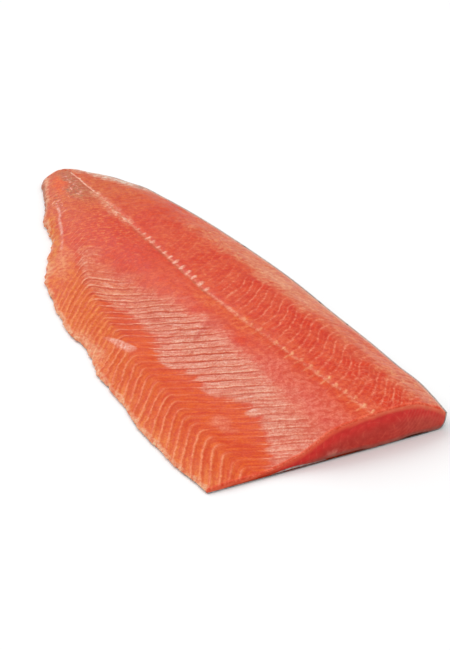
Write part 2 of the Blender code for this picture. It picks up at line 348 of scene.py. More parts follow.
def top_height(s, side):
    """Height of the flesh's top, without its relief."""
    share = np.abs(side)
    crest = curve_through(CREST_HEIGHT, s)
    back_rim = curve_through(BACK_RIM_HEIGHT, s) - SKIN_TOUCH
    belly_rim = curve_through(BELLY_RIM_HEIGHT, s)
    back = back_rim + (crest - back_rim) * curve_through(BACK_SECTION, share)
    flap = curve_through(FLAP_SECTION, share)
    tail = curve_through(TAIL_SECTION, share)
    belly_shape = tail + (flap - tail) * ease(s, FLAP_BEGINS, FLAP_WHOLE)
    belly = belly_rim + (crest - belly_rim) * belly_shape
    at_seam = ease(side, -0.02, 0.02)
    seam = SEAM_DEPTH * np.exp(-((side / 0.03) ** 2))
    return belly + (back - belly) * at_seam - seam


def round_off(distance, radius):
    """How far a rounded edge drops at a distance from the edge."""
    return radius - np.sqrt(radius**2 - (radius - np.clip(distance, 0.0, radius)) ** 2)


def between(value, low, high, soft_low, soft_high):
    """1 between low and high, with soft ends."""
    rise = ease(value, low - soft_low, low + soft_low)
    return rise * (1 - ease(value, high - soft_high, high + soft_high))


def spot(s, y, centre, radii, turn, soft):
    """1 inside a turned ellipse and 0 outside, with a soft edge. turn is in degrees."""
    c, w = math.cos(math.radians(turn)), math.sin(math.radians(turn))
    along = ((s - centre[0]) * c + (y - centre[1]) * w) / radii[0]
    across = ((y - centre[1]) * c - (s - centre[0]) * w) / radii[1]
    return 1 - ease(np.hypot(along, across), 1 - soft, 1 + soft)


def broken_line(points, at):
    """The value at each place of straight runs through (place, value) points."""
    places, values = np.array(points, float).T
    return np.interp(at, places, values)


def stripe(s, y, points, width, soft):
    """1 along a line through (s, y) points and 0 away from it, with faded ends."""
    off = np.abs(y - broken_line(points, s))
    first, last = points[0][0], points[-1][0]
    ends = ease(s, first, first + STRIPE_FADE) * (1 - ease(s, last - STRIPE_FADE, last))
    return (1 - ease(off, width / 2 - soft, width / 2 + soft)) * ends


def patches(s, y, name):
    """The soft patches of that name, added up."""
    return sum(strength * spot(s, y, *patch) for strength, *patch in PATCHES[name])


def zones(s, y, side, seam):
    """How much of each finish every point of the top has. s, y and seam are in millimetres."""
    drift = 3.2 * wander(s / 11, y / 8, 3) + 1.6 * wander(s / 4, y / 3.5, 4)
    edge_gap = (1 - np.abs(side)) * np.where(side > 0, BACK_WIDTH, BELLY_WIDTH) * ease(s, -30, 240)
    return {
        **{name: patches(s + drift, y + drift, name) for name in DRIFTING},
        **loin_zones(s, y, side, drift, edge_gap),
        **tail_zones(s, y, seam, drift),
        **belly_zones(s, y, drift),
        **edge_zones(s, y, side, drift, edge_gap),
        **seam_zones(s, y - seam, drift),
    }


def loin_zones(s, y, side, drift, edge_gap):
    """The back's pale band and rim."""
    band_line = curve_through(BAND_LINE, s) + 4 * wander((s + 0.8 * y) / 9, y / 40, 9)
    band = ease(y + 1.6 * drift, band_line - 8, band_line + 10) * ease(s, 110, 270)
    rim = (1 - ease(edge_gap + 0.4 * drift, 1.2, 4.5)) * (side > 0) * ease(s, 60, 160)
    return {
        "band": band * (1 - 0.3 * between(s, 420, 515, 15, 15)),
        "back_rim": rim + patches(s + 2 * drift, y + 2 * drift, "back_rim"),
    }


def tail_zones(s, y, seam, drift):
    """The tail's brown, tan and ochre parts, its specks, stain, ripples and line of membrane."""
    tan_line = broken_line(TAN_LINE, s)
    membrane = stripe(s, y + 0.25 * drift, MEMBRANE_LINE, 2.4, 1.1)
    membrane = membrane * (0.62 + 0.38 * wander(s / 5, y / 5, 8))
    ripple = between(s, 66, 215, 12, 30) * between(y, -68, seam - 4, 7, 5)
    speckle = patches(s + drift, y + drift, "speckle")
    return {
        "tail_brown": between(y + 0.5 * drift, -24, seam + 1, 4, 1.5) * between(s, 8, 100, 8, 25),
        "tail_tan": ease(y + 1.2 * drift, tan_line - 6, tan_line + 8) * (1 - ease(s, 84, 130)),
        "ochre": stripe(s, y + 0.4 * drift, OCHRE_LINE, 9, 3),
        "membrane": membrane * (0.62 + 0.38 * between(s, 104, 160, 8, 12)),
        "ripple": ripple + 0.45 * between(y, seam + 3, seam + 40, 4, 8) * between(s, 90, 330, 20, 40),
        "speckle": speckle + patches(s + drift, y + 0.5 * drift, "belly_speckle"),
        "stain": patches(s + drift, y, "stain"),
    }


def belly_zones(s, y, drift):
    """The pale film over the ribs, whose paleness is partly painted sheen, the orange strip beside it and
    the flap.
    """
    top, foot, apex = (curve_through(line, s) for line in (FILM_TOP, FILM_FOOT, APEX_LINE))
    streak = 3.2 * wander((ACROSS_LINES[0] * s + ACROSS_LINES[1] * y) / 4.4, 0, 71)
    film = 1 - ease(y + 1.4 * drift + streak, top - 9, top + 5)
    film *= ease(y + 0.7 * drift + streak, foot - 2.5, foot + 2.5)
    film *= 0.35 + 0.65 * (1 - ease(y + drift, top - 20, top - 2))
    film *= curve_through(FILM_STRENGTH, s)
    strip = between(y + 0.6 * drift, apex - 3, foot, 7, 3)
    flap = 1 - ease(y + 0.5 * drift, apex - 5, apex + 5)
    return {
        "film": np.maximum(film, patches(s + drift, y + drift, "film")),
        "haze": between(y + drift, -38, -17, 6, 6) * ease(s, 425, 480),
        "strip": strip * (0.8 * ease(s, 190, 240) + 0.2 * ease(s, 320, 390)),
        "flap": flap * ease(s, 150, 215),
        "flap_fine": 1 - ease(s + 1.4 * (y + 90), 318, 340),
    }


def edge_zones(s, y, side, drift, edge_gap):
    """The thin rims of the tail, the belly and the cut; the cut's rim also carries a painted highlight."""
    cut = LENGTH * MM
    tip_gap = np.minimum(edge_gap, 1.1 * s + 0.2)
    rim = (1 - ease(edge_gap + 0.5 * drift, 0.9, 3.4)) * (side < 0)
    return {
        "tail_rim": (1 - ease(tip_gap + 0.35 * drift, 0.8, 4.2)) * (1 - ease(s, 80, 120)),
        "outline": (1 - ease(tip_gap + 0.12 * drift, 0.5, 1.7)) * (1 - ease(s, 70, 120)),
        "rim": np.clip(rim + patches(s + drift, y + drift, "rim"), 0, 1),
        "flap_edge": (1 - ease(edge_gap + 0.8 * drift, 1, 20)) * (side < 0) * ease(s, 230, 330),
        "cut_rim": ease(s, cut - 2.6, cut - 0.6),
    }


def seam_zones(s, off, drift):
    """The seam's haze, warm flesh, shade and fat. off is the way from the seam."""
    shifted = off - FAT_SHIFT * ease(s, 230, 300)
    haze = patches(s + drift, off + 0.5 * drift, "seam_haze")
    warm = patches(s + drift, off + drift, "warm")
    warm += 0.35 * between(off + drift, -20, 8, 8, 6) * ease(s, 420, 500)
    shade = between(shifted, -5.0, -2.6, 0.8, 0.8) * between(s, 190, 350, 10, 10)
    return {
        "seam_haze": haze + 0.5 * between(off, -2.6, 0.2, 1.4, 0.8) * between(s, 150, 580, 10, 10),
        "warm": np.clip(warm, 0, 1),
        "seam_shade": shade * (0.6 + 0.4 * wander(s / 4, 0, 28)),
        "fat": seam_fat(s, shifted),
    }


def seam_fat(s, off):
    """The seam's pale fat, from the tail on: a line, streaks, dots, a faint line and commas."""
    thin = (1 - ease(np.abs(off + 0.4 * wander(s / 6, 0, 21)), 0.4, 1.2)) * between(s, 18, 86, 4, 8)
    uneven = 0.25 + 0.75 * wander(s / 3.4 + off / 2, off / 1.7, 22)
    streaks = np.clip(patches(s, off, "seam_streaks") * uneven, 0, 0.75)
    link = (1 - ease(np.abs(off + 1.6), 0.4, 1.3)) * between(s, 186, 405, 10, 14)
    link *= 0.16 + 0.2 * between(s, 345, 385, 6, 20) + 0.1 * wander(s / 5, 0, 27)
    return np.clip(thin + streaks + np.maximum(seam_dots(s, off), link) + seam_commas(s, off), 0, 1)


def seam_dots(s, off):
    """Slanted oval dots, one to a flake, that grow towards the head."""
    number = np.interp(s, DOTS, np.arange(len(DOTS)), left=-9, right=len(DOTS) + 9)
    along = (number - np.round(number)) * DOT_PITCH
    size = (1 + 0.2 * wander(np.round(number) * 3.3, 0, 23)) * np.interp(s, (186, 300), (0.78, 1.08))
    dots = spot(along, off, (0, -0.5), (3.0 * size, 1.8 * size), -64, 0.45)
    return 0.9 * dots * between(s, 186, 346, 5, 4)


def seam_commas(s, off):
    """Small commas, one to a flake, and their thin curved tails across the seam."""
    turns = (s + 2.0) / COMMA_PITCH
    number = np.round(turns)
    along = (turns - number) * COMMA_PITCH + 1.3 * wander(number * 5.3, 0, 25)
    sideways = off + 1.2 * wander(number * 4.1, 0, 26)
    faint = 0.42 + 0.34 * wander(number * 2.7, 0, 24)
    commas = spot(along, sideways, (-0.3, -0.8), (2.3, 1.0), -35, 0.6) * between(s, 372, 580, 8, 5)
    tails = stripe(along, sideways, COMMA_TAIL, 2.6, 1.1) * between(sideways, -11, 0, 3, 1)
    return commas * (faint + 0.1) + tails * between(s, 415, 590, 12, 5) * faint * 1.15


def line_strengths(s, y, flap, seam):
    """How strongly the flakes' pale lines show in the loin, in the film and in the belly flap."""
    off = y - seam
    top, foot, apex = (curve_through(line, s) for line in (FILM_TOP, FILM_FOOT, APEX_LINE))
    loin = between(off, 8, 46, 6, 8) * (0.3 + 0.7 * ease(s, 300, 360)) * ease(s, 120, 200)
    loin += 0.35 * between(off, 0, 10, 1, 4) * ease(s, 320, 420)
    loin += 0.75 * between(off, 40, 64, 6, 4) * ease(s, 360, 440)
    loin += 0.22 * between(off, -30, -4, 6, 3) * ease(s, 240, 320)
    film = between(y, foot - 4, top - 9, 5, 7) * ease(s, 205, 262)
    below = between(y, apex - 2, foot, 4, 4)
    film += below * (0.7 * between(s, 215, 350, 12, 15) + 0.16 * ease(s, 345, 400))
    film += 0.3 * between(y, apex, -48, 5, 5) * between(s, 140, 215, 15, 15)
    film *= 1 - 0.42 * ease(s, 455, 500)
    return {
        "loin_lines": np.clip(loin, 0, 1),
        "film_lines": np.clip(film, 0, 1),
        "flap_lines": flap * ease(s, 218, 256),
    }


def bell(value, width):
    return np.exp(-((value / width) ** 2))


def relief(s, y, side, share):
    """Height in metres of the flesh's flakes, lumps and fat over its smooth form."""
    off = share["phase"] - np.round(share["phase"])
    off_close = share["flap_phase"] - np.round(share["flap_phase"])
    line, close_line = bell(off, 0.1), bell(off_close, 0.22)
    crown = 1 - (1 - 2 * np.abs(off)) ** 2
    flap_line = line + (close_line - line) * share["flap_fine"]
    height = (0.1 * crown - 0.22 * line) * share["loin_lines"]
    height += 0.34 * (line - 0.35 * bell(off - 0.14, 0.09)) * share["film_lines"]
    height += 0.3 * (flap_line - 0.4) * share["flap_lines"]
    height += sum(tall * wander(s / long, y / wide, seed) for tall, long, wide, seed in LUMPS)
    height += 0.7 * share["fat"] + 0.55 * np.clip(share["scrap"], 0, 1)
    height += 0.6 * share["membrane"] + 0.25 * share["rim"]
    near_edge = ease((1 - np.abs(side)) * 100, 0.0, 6.0) * ease(s, 2, 22)
    return height / MM * near_edge


def table_lift(s, y):
    """The cut end doesn't lie quite flat: it lifts a little from the table under the loin's foot."""
    return LIFT * np.exp(-(((s - LENGTH) / 0.02) ** 2) - ((y - LIFT_Y) / 0.014) ** 2)


def lean_back(s, z):
    """The knife's cut isn't quite upright: its top lies a little towards the tail."""
    return s - z * math.tan(CUT_LEAN) * ease(s, LENGTH - 0.02, LENGTH)


def tip_rows(count):
    """Places round the tail's tip, from near its end to where the rounding stops."""
    return TIP_RADIUS * (1 - np.cos(np.radians(np.linspace(TIP_START, 90, count))))


def flesh_rows():
    count = round((LENGTH - TIP_RADIUS - CUT_ROWS[0]) / ROW_STEP)
    middle = np.linspace(TIP_RADIUS, LENGTH - CUT_ROWS[0], count + 1)[1:-1]
    return np.concatenate([tip_rows(TIP_ROWS), middle, LENGTH - np.array(CUT_ROWS)])


def crowd(count, amount):
    """Steps from 0 to 1, closer together near both ends."""
    even = np.linspace(0.0, 1.0, count + 1)
    return even - amount * np.sin(2 * np.pi * even) / (2 * np.pi)


def new_mesh(name, points, faces, slots=None):
    mesh = bpy.data.meshes.new(name)
    mesh.from_pydata([tuple(map(float, p)) for p in points], [], faces)
    if slots is not None:
        mesh.polygons.foreach_set("material_index", slots)
    mesh.validate()
    mesh.shade_smooth()
    made = bpy.data.objects.new(name, mesh)
    bpy.context.scene.collection.objects.link(made)
    return made


def put_attributes(obj, values):
    for name, numbers in values.items():
        layer = obj.data.attributes.new(name, "FLOAT", "POINT")
        layer.data.foreach_set("value", np.asarray(numbers, np.float32))


def to_table(s, y, z):
    """Points in the part's own frame."""
    return np.stack([s - ORIGIN_S, y - ORIGIN_Y, z], -1)


def ragged(s):
    """How far the torn belly edge strays, in metres. It is calmer near the cut."""
    waves = 0.0009 * wander(s / 0.011, 0, 41) + 0.0008 * wander(s / 0.0042, 0, 42)
    waves += 0.0005 * wander(s / 0.0018, 0, 43)
    waves = waves * ease(s, 0.004, 0.03) * (1 - 0.55 * ease(s, 0.38, 0.45))
    return waves * (1 - ease(s, 0.555, LENGTH))


def flesh_top(rows, sides):
    """Places, heights and finishes of the flesh's top, one line of the grid to a row."""
    s = np.repeat(rows[:, None], len(sides), 1)
    side = np.repeat(sides[None, :], len(rows), 0)
    seam = seam_at(s)
    belly = edge_of(BELLY_EDGE, s) + SKIN_GAP + ragged(s)
    back = edge_of(BACK_EDGE, s) - SKIN_THICKNESS - SKIN_TOUCH
    y = seam + np.where(side > 0, side * (back - seam), -side * (belly - seam))
    share = zones(s * MM, y * MM, side, seam * MM)
    share["phase"] = flake_places(s, sides) / MYOMERE_PITCH
    share["flap_phase"] = flap_phase(s, y)
    share["depth"] = np.zeros_like(s)
    share.update(line_strengths(s * MM, y * MM, share["flap"], seam * MM))
    z = top_height(s, side) + relief(s * MM, y * MM, side, share)
    z -= round_off(y - belly, BELLY_ROUNDING) * (side < 0)
    z -= round_off(LENGTH - s, CUT_ROUNDING)
    z -= 0.9 * round_off(s, TIP_ROUNDING)
    return y, z, share


def wall(place_y, low, high, bulge=0.0):
    """Points up a wall, from low to just below high."""
    levels = np.arange(WALL_LEVELS) / WALL_LEVELS
    height = low[:, None] + (high - low)[:, None] * levels
    return place_y[:, None] + bulge * np.sin(np.pi * levels) ** 0.7, height


def back_turn(rows):
    """The flesh's rounding under the back, from its rim to the flat underside."""
    rim, rounding = curve_through(BACK_RIM_HEIGHT, rows), curve_through(BACK_ROUNDING, rows)
    rounding = rounding * tip_roundness(rows)
    steepest = np.arccos(FLESH_EDGE / (rim - FLESH_FOOT))
    turn = steepest[:, None] * np.linspace(1, 0, ROUNDING_COLUMNS + 1)
    from_y = (edge_of(BACK_EDGE, rows) - rounding)[:, None]
    turn_y = from_y + (rounding - FLESH_FOOT)[:, None] * np.sin(turn)
    return turn_y, rim[:, None] - (rim - FLESH_FOOT)[:, None] * np.cos(turn)


def cut_numbers(columns, ring, fresh):
    """Numbers of the cut's points, a column at a time from the underside to the top.

    The border takes those of the last ring, from ring on, and the inside fresh ones.
    """
    numbers = np.full((columns, WALL_LEVELS + 1), -1)
    numbers[0] = ring + np.arange(WALL_LEVELS + 1)
    numbers[:, -1] = ring + WALL_LEVELS + np.arange(columns)
    past_top = ring + WALL_LEVELS + columns
    numbers[-1, :-1] = past_top + np.arange(WALL_LEVELS)[::-1]
    turn = past_top + WALL_LEVELS + np.arange(ROUNDING_COLUMNS)
    numbers[-1 - ROUNDING_COLUMNS : -1, 0] = turn[::-1]
    inside = numbers < 0
    numbers[inside] = fresh + np.arange(inside.sum())
    return numbers, inside


def cut_grid(belly_y, top_y, top_z, turn_y, turn_z):
    """The y and z of the cut's points, between its underside and its top."""
    flat = np.linspace(0, 1, len(top_y) - ROUNDING_COLUMNS)
    low_y = np.concatenate([belly_y + (turn_y[-1] - belly_y) * flat, turn_y[-2::-1]])
    low_z = np.concatenate([np.full(len(flat), FLESH_FOOT), turn_z[-2::-1]])
    rise = np.arange(WALL_LEVELS + 1) / WALL_LEVELS
    grid_y = low_y[:, None] + (top_y - low_y)[:, None] * rise
    return grid_y, low_z[:, None] + (top_z - low_z)[:, None] * rise


def flesh_faces(count, per_ring, numbers):
    """Faces of the rings, the tail's tip, the cut and the last strip underneath, with their slots."""
    faces = []
    for row in range(count - 1):
        a, b = row * per_ring, (row + 1) * per_ring
        faces.extend((a + k, b + k, b + k + 1, a + k + 1) for k in range(per_ring - 1))
        if row < count - 2:
            faces.append((a + per_ring - 1, b + per_ring - 1, b, a))
    faces.append(tuple(range(per_ring)))
    slots = [TOP_SLOT] * len(faces)
    corners = (numbers[:-1, :-1], numbers[1:, :-1], numbers[1:, 1:], numbers[:-1, 1:])
    cut = np.stack(corners, -1).reshape(-1, 4).tolist()
    faces.extend(cut)
    slots.extend([CUT_SLOT] * len(cut))
    before_cut = (count - 2) * per_ring
    underside = numbers[-1 - ROUNDING_COLUMNS :: -1, 0].tolist()
    faces.append((before_cut + per_ring - 1, *underside, before_cut))
    slots.append(TOP_SLOT)
    return faces, slots


def make_flesh():
    """The flesh: rings along the fillet over a flat underside, and a grid across the cut."""
    rows = flesh_rows()
    belly_half, back_half = crowd(BELLY_COLUMNS, CROWDING) - 1, crowd(BACK_COLUMNS, CROWDING)[1:]
    y, z, share = flesh_top(rows, np.concatenate([belly_half, back_half]))
    count, columns = z.shape
    belly_y, belly_z = wall(y[:, 0], np.full(count, FLESH_FOOT), z[:, 0], -BELLY_BULGE)
    turn_y, turn_z = back_turn(rows)
    back_y, back_z = wall(y[:, -1], turn_z[:, 0], z[:, -1])
    ring_y = np.concatenate([belly_y, y, back_y[:, ::-1], turn_y[:, 1:]], 1)
    ring_z = np.concatenate([belly_z, z, back_z[:, ::-1], turn_z[:, 1:]], 1)
    per_ring = ring_y.shape[1]
    numbers, inside = cut_numbers(columns, (count - 1) * per_ring, count * per_ring)
    cut_y, cut_z = (grid[inside] for grid in cut_grid(belly_y[-1, 0], y[-1], z[-1], turn_y[-1], turn_z[-1]))

    all_s = np.concatenate([np.repeat(rows, per_ring), np.full(len(cut_y), LENGTH)])
    all_y = np.concatenate([ring_y.ravel(), cut_y])
    all_z = np.concatenate([ring_z.ravel(), cut_z])
    swell = 0.0011 * wander(all_y / 0.017, all_z / 0.012, 51)
    swell += 0.0004 * wander(all_y / 0.005, all_z / 0.004, 52)
    swell[: count * per_ring] = 0.0
    all_s = swell + lean_back(all_s, all_z)
    points = to_table(all_s, all_y, all_z + table_lift(all_s, all_y))
    flesh = new_mesh("salmon_flesh", points, *flesh_faces(count, per_ring, numbers))

    edges = (WALL_LEVELS, per_ring - columns - WALL_LEVELS)
    values = {name: np.pad(grid, ((0, 0), edges), "edge") for name, grid in share.items()}
    values["rim"][:, :WALL_LEVELS] = 1.0
    values["depth"][-1] = np.clip(np.interp(ring_y[-1], y[-1], z[-1]) - ring_z[-1], 0, None)
    fill = {name: np.zeros(len(cut_y)) for name in values}
    fill["depth"] = np.interp(cut_y, y[-1], z[-1]) - cut_z
    put_attributes(flesh, {name: np.append(grid, fill[name]) for name, grid in values.items()})
    flesh.data.set_sharp_from_angle(angle=math.radians(70))
    return flesh


def skin_sheet(s, side, inset):
    """The y and z of the skin, inset from its outer face: flat under the fillet, then round the back."""
    seam, outer = seam_at(s), edge_of(BACK_EDGE, s)
    hem = edge_of(BELLY_EDGE, s) + HEM_INSET + HEM_SWAY * wander(s / HEM_WAVE, 0, 61)
    rounding = curve_through(BACK_ROUNDING, s) * tip_roundness(s)
    rim = curve_through(BACK_RIM_HEIGHT, s)
    turn = np.clip((side - ROUNDING_FROM) / (1 - ROUNDING_FROM), 0.0, 1.0) * np.pi / 2
    y_back = seam + np.clip(side / ROUNDING_FROM, 0.0, 1.0) * (outer - rounding - seam)
    y_back += np.maximum(rounding - inset, 0.0) * np.sin(turn)
    y = np.where(side > 0, y_back, seam - side * (hem - seam))
    return y, rim - (rim - inset) * np.cos(turn) + table_lift(s, y)


def skin_faces(long, wide):
    """The skin's lower and upper face, and the narrow faces round its border."""
    lift = wide * long
    faces = []
    for row in range(long - 1):
        for k in range(wide - 1):
            a, b = row * wide + k, (row + 1) * wide + k
            faces.append((a, a + 1, b + 1, b))
            faces.append((a + lift, b + lift, b + 1 + lift, a + 1 + lift))
    for row in range(long - 1):
        for k, turn in ((0, 1), (wide - 1, -1)):
            a, b = row * wide + k, (row + 1) * wide + k
            faces.append((a, b, b + lift, a + lift)[::turn])
    for k in range(wide - 1):
        for row, turn in ((0, -1), (long - 1, 1)):
            a = row * wide + k
            faces.append((a, a + 1, a + 1 + lift, a + lift)[::turn])
    return faces


def make_skin():
    """The skin: an even sheet that turns up round the back, to the flesh's rim."""
    count = round((LENGTH - TIP_RADIUS) / SKIN_ROW_STEP)
    rows = np.concatenate([tip_rows(SKIN_TIP_ROWS), np.linspace(TIP_RADIUS, LENGTH, count + 1)[1:]])
    belly = np.linspace(-1.0, 0.0, SKIN_BELLY_COLUMNS + 1)
    flat = np.linspace(0.0, ROUNDING_FROM, SKIN_FLAT_COLUMNS + 1)
    turning = np.linspace(ROUNDING_FROM, 1.0, SKIN_ROUNDING_COLUMNS + 1)
    sides = np.concatenate([belly, flat[1:], turning[1:]])
    s = np.repeat(rows[:, None], len(sides), 1)
    side = np.repeat(sides[None, :], len(rows), 0)

    (low_y, low_z), (high_y, high_z) = skin_sheet(s, side, 0.0), skin_sheet(s, side, SKIN_THICKNESS)
    leaned = lean_back(s, low_z)
    sheets = (to_table(leaned, low_y, low_z), to_table(leaned, high_y, high_z))
    points = np.concatenate([sheet.reshape(-1, 3) for sheet in sheets])
    skin = new_mesh("salmon_skin", points, skin_faces(len(rows), len(sides)))

    rim_share = np.stack([ease(side, 0.9, 0.975), ease(side, 0.9, 0.96)])
    rim_share = np.maximum(rim_share, CUT_PALENESS * (s > LENGTH - 0.0005))
    rim_share = np.maximum(rim_share, HEM_PALENESS * (side < -0.999))
    back_share = np.tile(ease(low_y, -0.06, 0.06).ravel(), 2)
    put_attributes(skin, {"back_share": back_share, "rim_share": rim_share.ravel()})
    skin.data.set_sharp_from_angle(angle=math.radians(50))
    return skin


class Finish:
    """Builds one material. A method returns its last node's output, or changes the tone so far."""

    def __init__(self, name):
        self.material = bpy.data.materials.new(name)
        self.material.use_nodes = True
        self.tree = self.material.node_tree
        self.shader = self.tree.nodes["Principled BSDF"]
        self.place = self.node("ShaderNodeTexCoord", output="Object")
        self.tone = None

    def plug(self, socket, value):
        if isinstance(value, bpy.types.NodeSocket):
            self.tree.links.new(value, socket)
        else:
            socket.default_value = value

    def node(self, kind, inputs=None, output=0, **settings):
        made = self.tree.nodes.new(kind)
        for key, value in settings.items():
            setattr(made, key, value)
        for key, value in (inputs or {}).items():
            self.plug(made.inputs[key], value)
        return made.outputs[output]

    def math(self, operation, a, b=0.0, c=0.0):
        return self.node("ShaderNodeMath", {0: a, 1: b, 2: c}, operation=operation)

    def scaled(self, value, by, plus):
        return self.math("MULTIPLY_ADD", value, by, plus)

    def plus(self, a, b):
        return self.math("ADD", a, b)

    def minus(self, a, b):
        return self.math("SUBTRACT", a, b)

    def share(self, name):
        return self.node("ShaderNodeAttribute", output="Fac", attribute_name=name)

    def times(self, first, *others):
        """The product of sockets and numbers. A name stands for the point attribute of that name."""
        values = [self.share(value) if isinstance(value, str) else value for value in (first, *others)]
        product = values[0]
        for value in values[1:]:
            product = self.math("MULTIPLY", product, value)
        return product

    def axis(self, number):
        return self.node("ShaderNodeSeparateXYZ", {0: self.place}, output=number)

    def reach(self, across, up):
        """The length of a line with these two sides."""
        squares = self.plus(self.times(across, across), self.times(up, up))
        return self.math("SQRT", squares)

    def span(self, value, low, high, to_low=0.0, to_high=1.0):
        inputs = {"Value": value, "From Min": low, "From Max": high, "To Min": to_low, "To Max": to_high}
        return self.node("ShaderNodeMapRange", inputs, interpolation_type="SMOOTHSTEP")

    def blend(self, amount, a, b):
        return self.node("ShaderNodeMix", {0: amount, 2: a, 3: b})

    def mix(self, amount, a, b, way="MIX"):
        inputs = {0: amount, 6: a, 7: b}
        return self.node("ShaderNodeMix", inputs, output=2, data_type="RGBA", blend_type=way)

    def lay(self, colour, *shares):
        """Lays a colour over the tone, as strongly as the product of the shares says."""
        self.tone = self.mix(self.times(*shares), self.tone, colour)

    def tint(self, amount, dark, light):
        """Multiplies the tone by a tint between dark and light."""
        self.tone = self.mix(1.0, self.tone, self.mix(amount, dark, light), "MULTIPLY")

    def grain(self, scale, detail=2.0, rough=0.5, stretch=(1, 1, 1), place=None, twist=0.0):
        """Noise from 0 to 1, whose features are about 1 / scale metres wide."""
        mapped = self.node("ShaderNodeMapping", {"Vector": place or self.place, "Scale": stretch})
        inputs = {"Scale": scale, "Detail": detail, "Roughness": rough, "Distortion": twist}
        return self.node("ShaderNodeTexNoise", {"Vector": mapped, **inputs})

    def bump(self, height, distance, strength=1.0, normal=None):
        inputs = {"Height": height, "Distance": distance, "Strength": strength}
        if normal is not None:
            inputs["Normal"] = normal
        return self.node("ShaderNodeBump", inputs)

    def lines(self, phase, half_width, soft, shift=0.0):
        """1 on the lines where phase is whole, and 0 between them. Widths are in turns."""
        turned = self.plus(phase, shift)
        off = self.math("PINGPONG", turned, 0.5)
        return self.span(self.minus(off, half_width), soft, -soft)

    def unsteady(self, name, scale, detail, sway):
        """A phase attribute that noise pushes to and fro, by up to half of sway."""
        middle = self.minus(self.share(name), sway / 2)
        return self.scaled(self.grain(scale, detail), sway, middle)

    def set(self, **values):
        for key, value in values.items():
            self.plug(self.shader.inputs[key.replace("_", " ")], value)


class FleshTop(Finish):
    """The finish of the flesh's top, with the noises that its layers share."""

    def __init__(self):
        super().__init__("salmon_flesh_top")
        self.slow = self.grain(60, 3, 0.55)
        self.mottle = self.grain(240, 4, 0.6)
        self.clots = self.grain(300)
        self.fine = self.grain(900, 3, 0.6)
        self.x, self.y = self.axis(0), self.axis(1)
        self.warp = self.scaled(self.grain(90, 5, 0.68), 0.34, -0.17)
        self.phase = self.plus(self.share("phase"), self.warp)
        flakes = {"X": self.times(self.phase, MYOMERE_PITCH), "Y": self.y}
        self.along_flakes = self.node("ShaderNodeCombineXYZ", flakes)


def lay_ground(f):
    """The flesh's own colours, zone by zone."""
    f.tone = f.mix(f.span(f.slow, 0.35, 0.68), LOIN, DEEP)
    f.lay(DEEP, "deep", 0.8)
    f.lay(TAIL, f.span(f.x, -0.1, -0.22), 0.75)
    f.lay(TAIL_BROWN, "tail_brown", f.span(f.mottle, 0.3, 0.6, 0.45, 0.9))
    f.lay(STAIN, "speckle", f.span(f.clots, 0.44, 0.36, 0.0, 0.75))
    f.lay(MEMBRANE, "speckle", f.span(f.clots, 0.55, 0.64, 0.0, 0.95))
    f.lay(TAIL_ORANGE, "tail_orange")
    f.lay(BAND, "band", f.span(f.clots, 0.32, 0.62, 1.0, 0.45))
    f.lay(WARM, "warm", f.span(f.slow, 0.32, 0.6, 0.4, 1.0))
    f.lay(STRIP, "strip")
    f.lay(f.mix(f.span(f.x, 0.03, 0.16), FLAP_TAIL, FLAP_HEAD), "flap")
    f.lay(FLAP_EDGE, "flap_edge", 0.65)
    f.lay(OCHRE, "ochre")
    f.lay(TAIL_TAN, "tail_tan", f.span(f.mottle, 0.32, 0.58, 0.6, 1.0))
    f.lay(SEAM_HAZE, "seam_haze", f.span(f.clots, 0.36, 0.6, 0.15, 0.8))
    f.lay(DEEP_SPECK, "deep", f.span(f.clots, 0.56, 0.66, 0.0, 0.5))
    f.lay(HAZE, "haze", f.span(f.mottle, 0.3, 0.6, 0.35, 0.7))


def lay_film(f):
    """The pale film over the ribs, partly painted sheen, with painted glints and dark grit along the
    flakes.
    """
    fibres = f.grain(430, 3, 0.6, stretch=(1.0, 0.3, 1.0), place=f.along_flakes)
    specks = f.grain(520, 5, 0.75)
    streaks = f.scaled(f.minus(fibres, 0.5), 1.3, specks)
    # The film's own pink with painted sheen in it, oranger towards the tail and paler towards the head
    colour = f.mix(f.span(f.x, -0.02, 0.07), FILM_TAIL, FILM)
    colour = f.mix(f.span(f.x, 0.08, 0.16), colour, FILM_HEAD)
    f.lay(colour, "film", f.span(streaks, 0.25, 0.6, 0.74, 1.0))
    # Painted glints of light along the flakes, strongest in cloudy patches and fainter towards the head
    clouds = f.span(f.slow, 0.34, 0.64, 0.34, 0.66)
    head = f.span(f.x, 0.08, 0.18, 1.0, 0.55)
    f.lay(FILM_PAINTED_GLINTS, "film", f.span(streaks, 0.44, 0.72), clouds, head)
    head = f.span(f.x, 0.08, 0.18, 1.0, 0.65)
    f.lay(FILM_PAINTED_SHADE_AND_GRIT, "film", f.span(streaks, 0.46, 0.28, 0.0, 0.45), head)


def lay_ripples(f):
    """Close pale ripples across the tail's flesh."""
    right, up = (share / RIPPLE_PITCH for share in ACROSS_LINES)
    across = f.plus(f.times(f.x, right), f.times(f.y, up))
    lines = f.lines(f.scaled(f.warp, 6.0, across), 0.1, 0.22)
    f.lay(RIPPLE, lines, "ripple", f.span(f.mottle, 0.38, 0.62, 0.0, 0.6))


